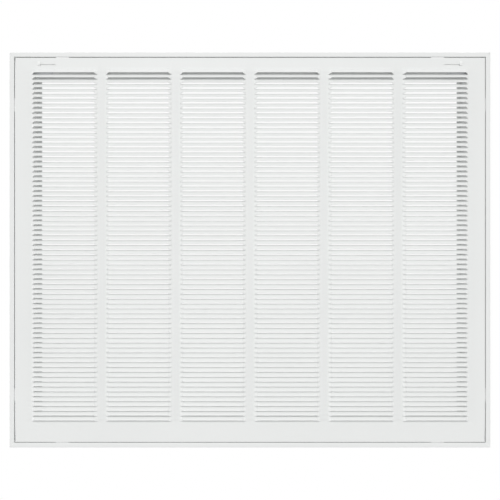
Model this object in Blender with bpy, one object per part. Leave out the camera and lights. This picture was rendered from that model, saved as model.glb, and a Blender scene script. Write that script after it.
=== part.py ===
"""Return air filter grille.

A mitred frame of folded steel sheet screws to the wall round the mouth of a return
duct. Its collar reaches into the duct and carries a flat filter against a rear lip.
A louvred face, lanced from one sheet, lies flush in the frame. It turns down on two
pins at its bottom corners, and two slides behind its top margin pass under keepers on
the frame to hold it shut. The slides are drawn back here.

Metres. +X is to the right, the face looks along -Y, and +Z is up. The origin is the
middle of the whole object's box. A depth is counted back from the front of the rim.
"""
import math

import bmesh
import bpy
from mathutils import Matrix, Vector

# Frame, seen from the front
FRAME_WIDTH = 0.835
FRAME_HEIGHT = 0.686
RIM_WIDTH = 0.0081
COLLAR_INSET = 0.0393
LIP_WIDTH = 0.0067

# Frame, from front to back
RECESS_DEPTH = 0.0052
COLLAR_DEPTH = 0.030
FRAME_GAUGE = 0.0008
FRAME_BEND = 0.0009

# Slots for the wall screws, in the flange and on up the rim's inner wall
SCREW_SLOT_LENGTH = 0.024
SCREW_SLOT_WIDTH = 0.0066
SCREW_SLOT_FROM_CORNER = 0.0905
SCREW_SLOT_UNDER_RIM = 0.0014
SCREW_SLOT_UP_WALL = 0.0025

# Plates that tie the mitred corners, and their flush rivets
CORNER_PLATE_INSET = 0.017
CORNER_PLATE_FROM_COLLAR = 0.0023
CORNER_PLATE_REACH = 0.075
CORNER_PLATE_GAUGE = 0.001
CORNER_PLATE_ROUND = 0.003
CORNER_RIVET_FROM_END = 0.008
CORNER_RIVET_SPACING = 0.020
CORNER_RIVET_RADIUS = 0.0015
CORNER_RIVET_HEAD_RADIUS = 0.0028
CORNER_RIVET_HEAD_HEIGHT = 0.0006
CORNER_RIVET_CROWN_RADIUS = 0.0018
CORNER_RIVET_TAIL_RADIUS = 0.0022

# Hinged face, a shallow pan
FACE_GAP = 0.0011
FACE_GAUGE = 0.0006
FACE_BEND = 0.0010
TOP_FLANGE_FROM_FLOOR = 0.0010
BOTTOM_FLANGE_FROM_FLOOR = 0.0017
FACE_CORNER_RELIEF = 0.0022

# Louvres lanced from the face
LOUVRE_COLUMNS = 6
LOUVRE_PITCH = 0.008467
LOUVRE_ANGLE = 46.0
LOUVRE_RAMP = 0.006
MULLION_WIDTH = 0.0134
SIDE_MARGIN = 0.0293
TOP_MARGIN = 0.0206
LEAST_BOTTOM_MARGIN = 0.0360

# Hinge pins at the bottom corners of the face
PIN_RADIUS = 0.0010
PIN_HEAD_RADIUS = 0.0016
PIN_HEAD_LENGTH = 0.0008
PIN_SHOULDER_RADIUS = 0.0016
PIN_SHOULDER_LENGTH = 0.0005
PIN_TIP = 0.0013
PIN_CHAMFER = 0.0003
PIN_HEIGHT = 0.0021
PIN_EAR_RADIUS = 0.0020

# Latch slides behind the face's top margin
LATCH_TAB_FROM_SIDE = 0.0424
LATCH_FROM_TOP = 0.0129
LATCH_TRAVEL = 0.014
LATCH_FROM_FACE = 0.0008
LATCH_GAUGE = 0.001
LATCH_BEND = 0.0007
LATCH_HEIGHT = 0.012
LATCH_OUTER_WALL = 0.0052
LATCH_INNER_WALL = 0.0072
LATCH_JOGGLE_RUN = 0.004
LATCH_TONGUE_LENGTH = 0.018
LATCH_TONGUE_HEIGHT = 0.006
LATCH_TAB_WIDTH = 0.0044
LATCH_TAB_ROOT = 0.004
LATCH_TAB_RISE = 0.0063
FINGER_SLOT_LENGTH = 0.0312
FINGER_SLOT_HEIGHT = 0.0026

# Studs on the back of the face that carry the slides
STUD_RADIUS = 0.0015
STUD_HEAD_RADIUS = 0.0032
STUD_HEAD_HEIGHT = 0.0006
OUTER_STUD = 0.011
INNER_STUD = 0.046

# Keepers on the frame that the tongues pass under
KEEPER_GAUGE = 0.0008
KEEPER_LENGTH = 0.020
KEEPER_FROM_TONGUE = 0.006
KEEPER_FOOT = 0.0045

# Clearances
CLEARANCE = 0.0003
TONGUE_CLEARANCE = 0.0004
TAB_CLEARANCE = 0.0004

# How finely round shapes are cut
BEND_STEPS = 2
ROUND_STEPS = 10
CUT_OVERRUN = 0.001

# Sizes worked out from those above
RIM_HEIGHT = RECESS_DEPTH + FRAME_GAUGE
REAR_DEPTH = RIM_HEIGHT + COLLAR_DEPTH
LOUVRE_REACH = LOUVRE_PITCH * math.sin(math.radians(LOUVRE_ANGLE))
LOUVRE_DROP = LOUVRE_PITCH * math.cos(math.radians(LOUVRE_ANGLE))
FRONT_Y = (LOUVRE_REACH - REAR_DEPTH) / 2
FACE_INSET = RIM_WIDTH + FACE_GAP
FACE_WIDTH = FRAME_WIDTH - 2 * FACE_INSET
FACE_HEIGHT = FRAME_HEIGHT - 2 * FACE_INSET
FACE_TOP = FACE_HEIGHT / 2
FACE_BOTTOM = -FACE_HEIGHT / 2
LOUVRE_ROWS = int((FACE_HEIGHT - TOP_MARGIN - LEAST_BOTTOM_MARGIN) / LOUVRE_PITCH)
PIN_DEPTH = RECESS_DEPTH / 2
FACE_SIDE_FLANGE = PIN_DEPTH + PIN_EAR_RADIUS
FACE_TOP_FLANGE = RECESS_DEPTH - TOP_FLANGE_FROM_FLOOR
FACE_BOTTOM_FLANGE = RECESS_DEPTH - BOTTOM_FLANGE_FROM_FLOOR
SCREW_SLOT_INSET = RIM_WIDTH - SCREW_SLOT_UNDER_RIM + SCREW_SLOT_WIDTH / 2
SLIDE_SLOT_RADIUS = STUD_RADIUS + CLEARANCE
LATCH_OUTER_END = OUTER_STUD + LATCH_TRAVEL + SLIDE_SLOT_RADIUS + LATCH_OUTER_WALL
LATCH_JOGGLE = INNER_STUD + SLIDE_SLOT_RADIUS + LATCH_INNER_WALL
LATCH_JOGGLE_END = LATCH_JOGGLE + LATCH_JOGGLE_RUN
LATCH_TONGUE_TIP = LATCH_JOGGLE_END + LATCH_TONGUE_LENGTH
LATCH_DEPTH = FACE_GAUGE + LATCH_FROM_FACE + LATCH_GAUGE / 2
TONGUE_DEPTH = RECESS_DEPTH - CLEARANCE - LATCH_GAUGE / 2
KEEPER_FOOT_DEPTH = RECESS_DEPTH - CLEARANCE - KEEPER_GAUGE / 2
KEEPER_BRIDGE_DEPTH = TONGUE_DEPTH - LATCH_GAUGE / 2 - TONGUE_CLEARANCE - KEEPER_GAUGE / 2
LATCH_X = FACE_WIDTH / 2 - LATCH_TAB_FROM_SIDE
LATCH_Z = FACE_TOP - LATCH_FROM_TOP
CORNER_RIVET_FAR = CORNER_PLATE_REACH - CORNER_RIVET_FROM_END
CORNER_RIVET_NEAR = CORNER_RIVET_FAR - CORNER_RIVET_SPACING
CORNER_PLATE_INNER = COLLAR_INSET - CORNER_PLATE_FROM_COLLAR
CORNER_RIVET_INSET = (CORNER_PLATE_INSET + CORNER_PLATE_INNER) / 2

POWDER_WHITE = (0.80, 0.81, 0.80)
BRIGHT_WHITE = (0.88, 0.89, 0.88)
ZINC = (0.62, 0.63, 0.65)


def clear_scene():
    for old in list(bpy.data.objects):
        bpy.data.objects.remove(old, do_unlink=True)


def finish(name, colour, roughness, metallic):
    """A plain material for one piece."""
    material = bpy.data.materials.new(name + "_finish")
    material.use_nodes = True
    shader = material.node_tree.nodes["Principled BSDF"]
    shader.inputs["Base Color"].default_value = (*colour, 1.0)
    shader.inputs["Roughness"].default_value = roughness
    shader.inputs["Metallic"].default_value = metallic
    material.diffuse_color = (*colour, 1.0)
    return material


def painted(name):
    return finish(name, POWDER_WHITE, 0.45, 0.0)


def zinc_plated(name):
    return finish(name, ZINC, 0.35, 0.9)


def make_object(name, shape, place, material=None, parent=None):
    """Turn a bmesh into an object that stands at a place in the world."""
    bmesh.ops.recalc_face_normals(shape, faces=shape.faces[:])
    mesh = bpy.data.meshes.new(name)
    shape.to_mesh(mesh)
    shape.free()
    piece = bpy.data.objects.new(name, mesh)
    bpy.context.collection.objects.link(piece)
    piece.location = place
    if material is not None:
        mesh.materials.append(material)
    if parent is not None:
        piece.parent = parent
        piece.location = Vector(place) - parent.location
    return piece


def make_cutter(name, shape, place, parent=None):
    """A body that only cuts or joins, and isn't a piece of the grille."""
    cutter = make_object(name, shape, place, parent=parent)
    cutter.hide_render = True
    cutter.display_type = "WIRE"
    return cutter


def add_boolean(piece, operand, operation):
    modifier = piece.modifiers.new(operation.lower(), "BOOLEAN")
    modifier.operation = operation
    modifier.solver = "EXACT"
    modifier.object = operand


def shade_round(piece):
    piece.data.shade_smooth()
    piece.data.set_sharp_from_angle(angle=math.radians(40))


def sheet_outline(folds, gauge, bend):
    """Closed outline of a folded sheet. The folds are points on its middle line."""
    folds = [Vector(fold) for fold in folds]
    spine = [(folds[0], (folds[1] - folds[0]).normalized())]
    for before, fold, after in zip(folds, folds[1:], folds[2:]):
        into = (fold - before).normalized()
        out = (after - fold).normalized()
        turn = math.atan2(into.x * out.y - into.y * out.x, into.dot(out))
        hand = math.copysign(1.0, turn)
        start = fold - into * bend * math.tan(abs(turn) / 2)
        centre = start + into.orthogonal() * bend * hand
        for step in range(BEND_STEPS + 1):
            heading = into.copy()
            heading.rotate(Matrix.Rotation(turn * step / BEND_STEPS, 2))
            spine.append((centre - heading.orthogonal() * bend * hand, heading))
    spine.append((folds[-1], spine[-1][1]))
    left = [point + heading.orthogonal() * gauge / 2 for point, heading in spine]
    right = [point - heading.orthogonal() * gauge / 2 for point, heading in spine]
    return left + right[::-1]


def obround_outline(length, width):
    """A slot's outline with round ends, lying along the first axis."""
    radius = width / 2
    outline = []
    for side in (1, -1):
        for step in range(ROUND_STEPS // 2 + 1):
            angle = math.pi * step / (ROUND_STEPS // 2) - math.pi / 2
            along = side * (length / 2 - radius + radius * math.cos(angle))
            across = side * radius * math.sin(angle)
            outline.append((along, across))
    return outline


def box_outline(low, high):
    return [(low[0], low[1]), (high[0], low[1]), (high[0], high[1]), (low[0], high[1])]


def add_prism(shape, outline, to_space, start, end):
    """Extrude a flat outline. to_space turns (u, v, along) into a point."""
    ring = [shape.verts.new(to_space(u, v, start)) for u, v in outline]
    face = shape.faces.new(ring)
    extruded = bmesh.ops.extrude_face_region(shape, geom=[face])
    far = [item for item in extruded["geom"] if isinstance(item, bmesh.types.BMVert)]
    shift = Vector(to_space(0, 0, end)) - Vector(to_space(0, 0, start))
    bmesh.ops.translate(shape, verts=far, vec=shift)


def add_turned(shape, profile, centre, axis):
    """Turn a profile of (radius, along) points round an axis through a centre."""
    axis = Vector(axis)
    centre = Vector(centre)
    across = axis.orthogonal().normalized()
    verts = [shape.verts.new(centre + across * r + axis * along) for r, along in profile]
    edges = [shape.edges.new(pair) for pair in zip(verts, verts[1:])]
    bmesh.ops.spin(shape, geom=verts + edges, cent=centre, axis=axis,
                   angle=2 * math.pi, steps=ROUND_STEPS, use_merge=True)
    bmesh.ops.remove_doubles(shape, verts=shape.verts[:], dist=1e-6)


def depth_y(depth):
    return FRONT_Y + depth


def facing(u, v, depth):
    """A flat outline seen from the front, carried back by its depth."""
    return (u, depth, v)


def corner_signs():
    for up in (1, -1):
        for side in (-1, 1):
            name = ("top" if up > 0 else "bottom") + ("_left" if side < 0 else "_right")
            yield name, side, up


# Frame

def rail_outline():
    """Section of a rail as (inset, depth): rim, flange, collar and rear lip."""
    half = FRAME_GAUGE / 2
    folds = [
        (half, RIM_HEIGHT),
        (half, half),
        (RIM_WIDTH - half, half),
        (RIM_WIDTH - half, RECESS_DEPTH + half),
        (COLLAR_INSET - half, RECESS_DEPTH + half),
        (COLLAR_INSET - half, REAR_DEPTH - half),
        (COLLAR_INSET + LIP_WIDTH, REAR_DEPTH - half),
    ]
    return sheet_outline(folds, FRAME_GAUGE, FRAME_BEND)


def mitred_rail(name, length, turn, place, cutters):
    """One rail, lying along X with its outer edge up, then turned to its side."""
    shape = bmesh.new()
    seam = CLEARANCE / math.sqrt(2)
    ring = []
    for inset, depth in rail_outline():
        ring.append(shape.verts.new((inset + seam - length / 2, depth, -inset)))
    face = shape.faces.new(ring)
    extruded = bmesh.ops.extrude_face_region(shape, geom=[face])
    for item in extruded["geom"]:
        if isinstance(item, bmesh.types.BMVert):
            item.co.x = -item.co.x
    rail = make_object(name, shape, place, painted(name))
    rail.rotation_euler = (0, turn, 0)
    for cutter in cutters:
        add_boolean(rail, cutter, "DIFFERENCE")


def screw_slot_cutter():
    shape = bmesh.new()
    start = RECESS_DEPTH - SCREW_SLOT_UP_WALL
    end = RIM_HEIGHT + CUT_OVERRUN
    slot = obround_outline(SCREW_SLOT_LENGTH, SCREW_SLOT_WIDTH)
    for _, side, up in corner_signs():
        along_x = side * (FRAME_WIDTH / 2 - SCREW_SLOT_FROM_CORNER)
        inset_z = up * (FRAME_HEIGHT / 2 - SCREW_SLOT_INSET)
        add_prism(shape, [(along_x + u, inset_z + v) for u, v in slot], facing, start, end)
        inset_x = side * (FRAME_WIDTH / 2 - SCREW_SLOT_INSET)
        along_z = up * (FRAME_HEIGHT / 2 - SCREW_SLOT_FROM_CORNER)
        add_prism(shape, [(inset_x + v, along_z + u) for u, v in slot], facing, start, end)
    return make_cutter("screw_slot_cutter", shape, (0, FRONT_Y, 0))


def pin_hole_cutter(name, reach_out, reach_in):
    """Holes along X round both hinge pins, between two insets."""
    shape = bmesh.new()
    radius = PIN_RADIUS + CLEARANCE
    for side in (-1, 1):
        outer = FRAME_WIDTH / 2 - reach_out
        inner = FRAME_WIDTH / 2 - reach_in
        profile = [(0, inner), (radius, inner), (radius, outer), (0, outer)]
        add_turned(shape, profile, (0, 0, 0), (side, 0, 0))
    place = (0, depth_y(PIN_DEPTH), FACE_BOTTOM + PIN_HEIGHT)
    return make_cutter(name, shape, place)


def corner_rivet_places(side, up):
    """Where a corner's rivets stand: two on each leg of its plate."""
    inset = CORNER_RIVET_INSET
    for along in (CORNER_RIVET_NEAR, CORNER_RIVET_FAR):
        yield side * (FRAME_WIDTH / 2 - along), up * (FRAME_HEIGHT / 2 - inset)
        yield side * (FRAME_WIDTH / 2 - inset), up * (FRAME_HEIGHT / 2 - along)


def corner_rivet_profile():
    """From the low head, ahead of the plate, to the tail sunk flush in the flange."""
    plate_front = RECESS_DEPTH - CLEARANCE - CORNER_PLATE_GAUGE
    under_head = plate_front - CLEARANCE
    dome = under_head - CORNER_RIVET_HEAD_HEIGHT
    tail = RIM_HEIGHT - CLEARANCE / 2
    return [
        (0, dome),
        (CORNER_RIVET_CROWN_RADIUS, dome),
        (CORNER_RIVET_HEAD_RADIUS, under_head),
        (CORNER_RIVET_RADIUS, under_head),
        (CORNER_RIVET_RADIUS, RECESS_DEPTH),
        (CORNER_RIVET_TAIL_RADIUS, tail),
        (0, tail),
    ]


def corner_rivet_hole_cutter():
    shape = bmesh.new()
    shank = CORNER_RIVET_RADIUS + CLEARANCE
    tail = CORNER_RIVET_TAIL_RADIUS + CLEARANCE
    start = RECESS_DEPTH - 2 * CORNER_PLATE_GAUGE
    slope = (tail - shank) / (FRAME_GAUGE - CLEARANCE / 2)
    end = RIM_HEIGHT + CUT_OVERRUN
    wide = shank + slope * (end - RECESS_DEPTH)
    profile = [(0, start), (shank, start), (shank, RECESS_DEPTH), (wide, end), (0, end)]
    for _, side, up in corner_signs():
        for x, z in corner_rivet_places(side, up):
            add_turned(shape, profile, (x, 0, z), (0, 1, 0))
    return make_cutter("corner_rivet_hole_cutter", shape, (0, FRONT_Y, 0))


def make_frame():
    screw_slots = screw_slot_cutter()
    rivet_holes = corner_rivet_hole_cutter()
    pin_holes = pin_hole_cutter("rim_pin_hole_cutter", RIM_WIDTH / 2,
                                RIM_WIDTH + FACE_GAP / 2)
    half_width = FRAME_WIDTH / 2
    half_height = FRAME_HEIGHT / 2
    quarter = math.pi / 2
    level = [screw_slots, rivet_holes]
    upright = [screw_slots, rivet_holes, pin_holes]
    mitred_rail("frame_rail_top", FRAME_WIDTH, 0, (0, FRONT_Y, half_height), level)
    mitred_rail("frame_rail_bottom", FRAME_WIDTH, math.pi, (0, FRONT_Y, -half_height), level)
    mitred_rail("frame_rail_left", FRAME_HEIGHT, -quarter, (-half_width, FRONT_Y, 0), upright)
    mitred_rail("frame_rail_right", FRAME_HEIGHT, quarter, (half_width, FRONT_Y, 0), upright)
    return rivet_holes


def make_corner_plate(corner, side, up, rivet_holes):
    """An L of flat steel across a mitre, on the flange behind the face."""
    outer = CORNER_PLATE_INSET
    inner = CORNER_PLATE_INNER
    reach = CORNER_PLATE_REACH
    corners = [(outer, outer), (reach, outer), (reach, inner),
               (inner, inner), (inner, reach), (outer, reach)]
    outline = [(-side * u, -up * v) for u, v in corners]
    shape = bmesh.new()
    back = RECESS_DEPTH - CLEARANCE
    add_prism(shape, outline, facing, back - CORNER_PLATE_GAUGE, back)
    through = [edge for edge in shape.edges
               if abs(edge.verts[0].co.y - edge.verts[1].co.y) > CORNER_PLATE_GAUGE / 2]
    bmesh.ops.bevel(shape, geom=through, offset=CORNER_PLATE_ROUND, affect="EDGES",
                    segments=BEND_STEPS, profile=0.5, material=-1)
    place = (side * FRAME_WIDTH / 2, FRONT_Y, up * FRAME_HEIGHT / 2)
    name = "corner_plate_" + corner
    plate = make_object(name, shape, place, zinc_plated(name))
    add_boolean(plate, rivet_holes, "DIFFERENCE")


def make_corner_rivets(corner, side, up):
    for number, (x, z) in enumerate(corner_rivet_places(side, up), start=1):
        shape = bmesh.new()
        add_turned(shape, corner_rivet_profile(), (0, 0, 0), (0, 1, 0))
        name = f"corner_rivet_{corner}_{number}"
        shade_round(make_object(name, shape, (x, FRONT_Y, z), zinc_plated(name)))


def make_keeper(name, side):
    """A hat-shaped strap on the flange, with room under it for the tongue."""
    opening = LATCH_TONGUE_HEIGHT / 2 + 2 * CLEARANCE + KEEPER_GAUGE / 2
    foot = opening + KEEPER_FOOT
    folds = [(-foot, KEEPER_FOOT_DEPTH), (-opening, KEEPER_FOOT_DEPTH),
             (-opening, KEEPER_BRIDGE_DEPTH), (opening, KEEPER_BRIDGE_DEPTH),
             (opening, KEEPER_FOOT_DEPTH), (foot, KEEPER_FOOT_DEPTH)]
    outline = sheet_outline(folds, KEEPER_GAUGE, KEEPER_GAUGE / 2 + CLEARANCE / 2)
    start = LATCH_TONGUE_TIP + KEEPER_FROM_TONGUE
    shape = bmesh.new()
    add_prism(shape, outline, lambda u, v, along: (-side * along, v, u),
              start, start + KEEPER_LENGTH)
    place = (side * LATCH_X, FRONT_Y, LATCH_Z)
    shade_round(make_object(name, shape, place, zinc_plated(name)))


# Face

def louvre_lines():
    """Where the louvres start and stop across the face, column by column."""
    field = FACE_WIDTH - 2 * SIDE_MARGIN
    length = (field - (LOUVRE_COLUMNS - 1) * MULLION_WIDTH) / LOUVRE_COLUMNS
    for column in range(LOUVRE_COLUMNS):
        start = column * (length + MULLION_WIDTH) - field / 2
        yield start
        yield start + length


def lance(sheet, corners):
    """Push a strip's lower edge out of the sheet. It stays joined at both ends."""
    top_left, top_right, bottom_left, bottom_right = corners
    y = top_left.co.y - LOUVRE_REACH
    z = top_left.co.z - LOUVRE_DROP
    lip_left = sheet.verts.new((top_left.co.x + LOUVRE_RAMP, y, z))
    lip_right = sheet.verts.new((top_right.co.x - LOUVRE_RAMP, y, z))
    sheet.faces.new((top_left, lip_left, lip_right, top_right))
    sheet.faces.new((top_left, bottom_left, lip_left))
    sheet.faces.new((top_right, lip_right, bottom_right))


def louvre_field(sheet):
    """The louvres and the bars between them. Gives the lines of vertices on it."""
    across = list(louvre_lines())
    field_top = FACE_TOP - TOP_MARGIN
    down = [field_top - row * LOUVRE_PITCH for row in range(LOUVRE_ROWS + 1)]
    lines = [[sheet.verts.new((x, 0, z)) for x in across] for z in down]
    for above, below in zip(lines, lines[1:]):
        for column in range(len(across) - 1):
            corners = (above[column], above[column + 1], below[column], below[column + 1])
            if column % 2 == 0:
                lance(sheet, corners)
            else:
                sheet.faces.new((corners[0], corners[2], corners[3], corners[1]))
    return lines


def face_sheet():
    """The face as one surface, front skin only, before it gets its thickness."""
    sheet = bmesh.new()
    lines = louvre_field(sheet)
    half = FACE_WIDTH / 2
    relief = half - FACE_CORNER_RELIEF
    top = [sheet.verts.new((x, 0, FACE_TOP)) for x in (-half, -relief, relief, half)]
    bottom = [sheet.verts.new((x, 0, FACE_BOTTOM)) for x in (-half, -relief, relief, half)]
    left_border = [line[0] for line in lines]
    right_border = [line[-1] for line in lines]
    sheet.faces.new(top[::-1] + lines[0])
    sheet.faces.new(bottom + lines[-1][::-1])
    sheet.faces.new([top[0]] + left_border + [bottom[0]])
    sheet.faces.new([bottom[-1]] + right_border[::-1] + [top[-1]])
    fold_back(sheet, top[1:-1], FACE_TOP_FLANGE)
    fold_back(sheet, bottom[1:-1], FACE_BOTTOM_FLANGE)
    for end in (0, -1):
        back = fold_back(sheet, [top[end], bottom[end]], FACE_SIDE_FLANGE)
        lowest = min(back, key=lambda vert: vert.co.z)
        bmesh.ops.bevel(sheet, geom=[lowest], offset=PIN_EAR_RADIUS, affect="VERTICES",
                        segments=BEND_STEPS + 1, profile=0.5, material=-1)
    return sheet


def fold_back(sheet, line, depth):
    """Fold a flange back from a line of border vertices. Gives its rear vertices."""
    chosen = set(line)
    border = [edge for edge in sheet.edges if set(edge.verts) <= chosen and edge.is_boundary]
    folded = bmesh.ops.extrude_edge_only(sheet, edges=border)
    back = [item for item in folded["geom"] if isinstance(item, bmesh.types.BMVert)]
    bmesh.ops.translate(sheet, verts=back, vec=(0, depth, 0))
    return back


def mark_folds(piece):
    """Weigh the four long folds of the pan, so that only they are rounded."""
    mesh = piece.data
    weights = mesh.attributes.new("bevel_weight_edge", "FLOAT", "EDGE")
    half_width = FACE_WIDTH / 2
    for edge in mesh.edges:
        ends = [mesh.vertices[index].co for index in edge.vertices]
        flat = all(abs(end.y + PIN_DEPTH) < CLEARANCE / 2 for end in ends)
        on_side = all(abs(abs(end.x) - half_width) < CLEARANCE / 2 for end in ends)
        heights = [end.z + FACE_BOTTOM + PIN_HEIGHT for end in ends]
        on_level = all(abs(abs(height) - FACE_TOP) < CLEARANCE / 2 for height in heights)
        relieved = all(abs(end.x) < half_width - CLEARANCE / 2 for end in ends)
        if flat and (on_side or (on_level and relieved)):
            weights.data[edge.index].value = 1.0


def finger_slot_cutter(hinge):
    shape = bmesh.new()
    outer = LATCH_TAB_WIDTH / 2 + TAB_CLEARANCE
    middle = outer - FINGER_SLOT_LENGTH / 2
    slot = obround_outline(FINGER_SLOT_LENGTH, FINGER_SLOT_HEIGHT)
    for side in (-1, 1):
        outline = [(side * (LATCH_X + middle + u), v) for u, v in slot]
        add_prism(shape, outline, facing, -CUT_OVERRUN, FACE_GAUGE + CUT_OVERRUN)
    return make_cutter("finger_slot_cutter", shape, (0, FRONT_Y, LATCH_Z), hinge)


def make_face(hinge):
    sheet = face_sheet()
    axis_in_sheet = Vector((0, PIN_DEPTH, FACE_BOTTOM + PIN_HEIGHT))
    bmesh.ops.translate(sheet, verts=sheet.verts[:], vec=-axis_in_sheet)
    name = "louvre_face"
    face = make_object(name, sheet, hinge.location, painted(name), hinge)
    mark_folds(face)
    rounding = face.modifiers.new("fold_radius", "BEVEL")
    rounding.limit_method = "WEIGHT"
    rounding.width = FACE_BEND
    rounding.segments = 2
    rounding.use_clamp_overlap = False
    gauge = face.modifiers.new("gauge", "SOLIDIFY")
    gauge.thickness = FACE_GAUGE
    gauge.offset = -1.0
    gauge.use_even_offset = True
    add_boolean(face, finger_slot_cutter(hinge), "DIFFERENCE")
    flange_hole_start = FACE_INSET - FACE_GAP / 2
    flange_hole_end = FACE_INSET + FACE_GAUGE + CUT_OVERRUN
    pin_holes = pin_hole_cutter("flange_pin_hole_cutter", flange_hole_start, flange_hole_end)
    add_boolean(face, pin_holes, "DIFFERENCE")


def make_hinge_pin(name, side, hinge):
    """A shouldered pin in the face's side flange. Its tip runs in the rim's wall."""
    flange_out = FACE_WIDTH / 2
    flange_in = flange_out - FACE_GAUGE
    head_out = flange_in - CLEARANCE
    head_in = head_out - PIN_HEAD_LENGTH
    shoulder_in = flange_out + CLEARANCE
    shoulder_out = shoulder_in + PIN_SHOULDER_LENGTH
    rim_wall = FRAME_WIDTH / 2 - RIM_WIDTH + FRAME_GAUGE
    tip = rim_wall + PIN_TIP
    profile = [(0, head_in), (PIN_HEAD_RADIUS, head_in), (PIN_HEAD_RADIUS, head_out),
               (PIN_RADIUS, head_out), (PIN_RADIUS, shoulder_in),
               (PIN_SHOULDER_RADIUS, shoulder_in), (PIN_SHOULDER_RADIUS, shoulder_out),
               (PIN_RADIUS, shoulder_out), (PIN_RADIUS, tip - PIN_CHAMFER),
               (PIN_RADIUS - PIN_CHAMFER, tip), (0, tip)]
    shape = bmesh.new()
    add_turned(shape, profile, (0, 0, 0), (side, 0, 0))
    shade_round(make_object(name, shape, hinge.location, zinc_plated(name), hinge))


def make_stud(name, x, hinge):
    """A headed stud welded to the back of the face. The slide hangs on two of them."""
    foot = FACE_GAUGE + CLEARANCE
    under_head = LATCH_DEPTH + LATCH_GAUGE / 2 + CLEARANCE
    end = under_head + STUD_HEAD_HEIGHT
    profile = [(0, foot), (STUD_RADIUS, foot), (STUD_RADIUS, under_head),
               (STUD_HEAD_RADIUS, under_head), (STUD_HEAD_RADIUS, end), (0, end)]
    shape = bmesh.new()
    add_turned(shape, profile, (0, 0, 0), (0, 1, 0))
    shade_round(make_object(name, shape, (x, FRONT_Y, LATCH_Z), zinc_plated(name), hinge))


# Latch slides

def slide_cutter(name, side, place, hinge):
    """What is cut from the slide's strip: guide slots, tab notch, tongue shoulders."""
    shape = bmesh.new()
    front = -CUT_OVERRUN
    back = RIM_HEIGHT
    half = LATCH_HEIGHT / 2
    slot_length = LATCH_TRAVEL + 2 * SLIDE_SLOT_RADIUS
    slot = obround_outline(slot_length, 2 * SLIDE_SLOT_RADIUS)
    for stud in (OUTER_STUD, -INNER_STUD):
        middle = stud + LATCH_TRAVEL / 2
        add_prism(shape, [(side * (middle + u), v) for u, v in slot], facing, front, back)
    notch = LATCH_TAB_WIDTH / 2 + CLEARANCE
    notch_box = box_outline((-notch, -LATCH_BEND), (notch, half + CUT_OVERRUN))
    add_prism(shape, notch_box, facing, front, back)
    tongue = LATCH_TONGUE_HEIGHT / 2
    near = -side * LATCH_JOGGLE
    far = -side * (LATCH_TONGUE_TIP + CUT_OVERRUN)
    for up in (-1, 1):
        shoulder = box_outline((near, up * tongue), (far, up * (half + CUT_OVERRUN)))
        add_prism(shape, shoulder, facing, front, back)
    return make_cutter(name, shape, place, hinge)


def thumb_tab(name, place, hinge):
    """The strip that turns out through the finger slot and up in front of the face."""
    outside = -TAB_CLEARANCE - LATCH_GAUGE / 2
    folds = [(-LATCH_TAB_ROOT, LATCH_DEPTH), (0, LATCH_DEPTH),
             (0, outside), (LATCH_TAB_RISE, outside)]
    shape = bmesh.new()
    half = LATCH_TAB_WIDTH / 2
    add_prism(shape, sheet_outline(folds, LATCH_GAUGE, LATCH_BEND),
              lambda u, v, along: (along, v, u), -half, half)
    return make_cutter(name, shape, place, hinge)


def make_slide(hand, side, hinge):
    place = (side * LATCH_X, FRONT_Y, LATCH_Z)
    folds = [(LATCH_OUTER_END, LATCH_DEPTH), (-LATCH_JOGGLE, LATCH_DEPTH),
             (-LATCH_JOGGLE_END, TONGUE_DEPTH), (-LATCH_TONGUE_TIP, TONGUE_DEPTH)]
    outline = sheet_outline(folds, LATCH_GAUGE, LATCH_BEND)
    shape = bmesh.new()
    half = LATCH_HEIGHT / 2
    add_prism(shape, outline, lambda u, v, along: (side * u, v, along), -half, half)
    name = "latch_slide_" + hand
    material = finish(name, BRIGHT_WHITE, 0.35, 0.0)
    slide = make_object(name, shape, place, material, hinge)
    add_boolean(slide, slide_cutter("slide_cutter_" + hand, side, place, hinge), "DIFFERENCE")
    add_boolean(slide, thumb_tab("thumb_tab_" + hand, place, hinge), "UNION")
    shade_round(slide)


def make_hinge():
    """The line that the face turns about, which carries all that moves."""
    hinge = bpy.data.objects.new("face_hinge", None)
    hinge.location = (0, depth_y(PIN_DEPTH), FACE_BOTTOM + PIN_HEIGHT)
    bpy.context.collection.objects.link(hinge)
    return hinge


def main():
    clear_scene()
    rivet_holes = make_frame()
    for corner, side, up in corner_signs():
        make_corner_plate(corner, side, up, rivet_holes)
        make_corner_rivets(corner, side, up)
    hinge = make_hinge()
    make_face(hinge)
    for hand, side in (("left", -1), ("right", 1)):
        make_keeper("latch_keeper_" + hand, side)
        make_hinge_pin("hinge_pin_" + hand, side, hinge)
        make_stud("latch_stud_outer_" + hand, side * (LATCH_X + OUTER_STUD), hinge)
        make_stud("latch_stud_inner_" + hand, side * (LATCH_X - INNER_STUD), hinge)
        make_slide(hand, side, hinge)
    bpy.context.view_layer.update()


main()
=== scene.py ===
# %% [markdown]
# # Dressing a return air filter grille
# The grille is folded steel sheet under white powder coat: a mitred frame, and in it a
# hinged face with 432 louvres pushed out of one sheet. Its working parts are already
# modelled at their real size. This lesson loads them as a fixed frame, builds the fine
# surfaces that a camera sees over them, paints them and lights them.

# %% Load the fixed frame
import math

import bmesh
import bpy
from mathutils import Matrix, Vector


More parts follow.
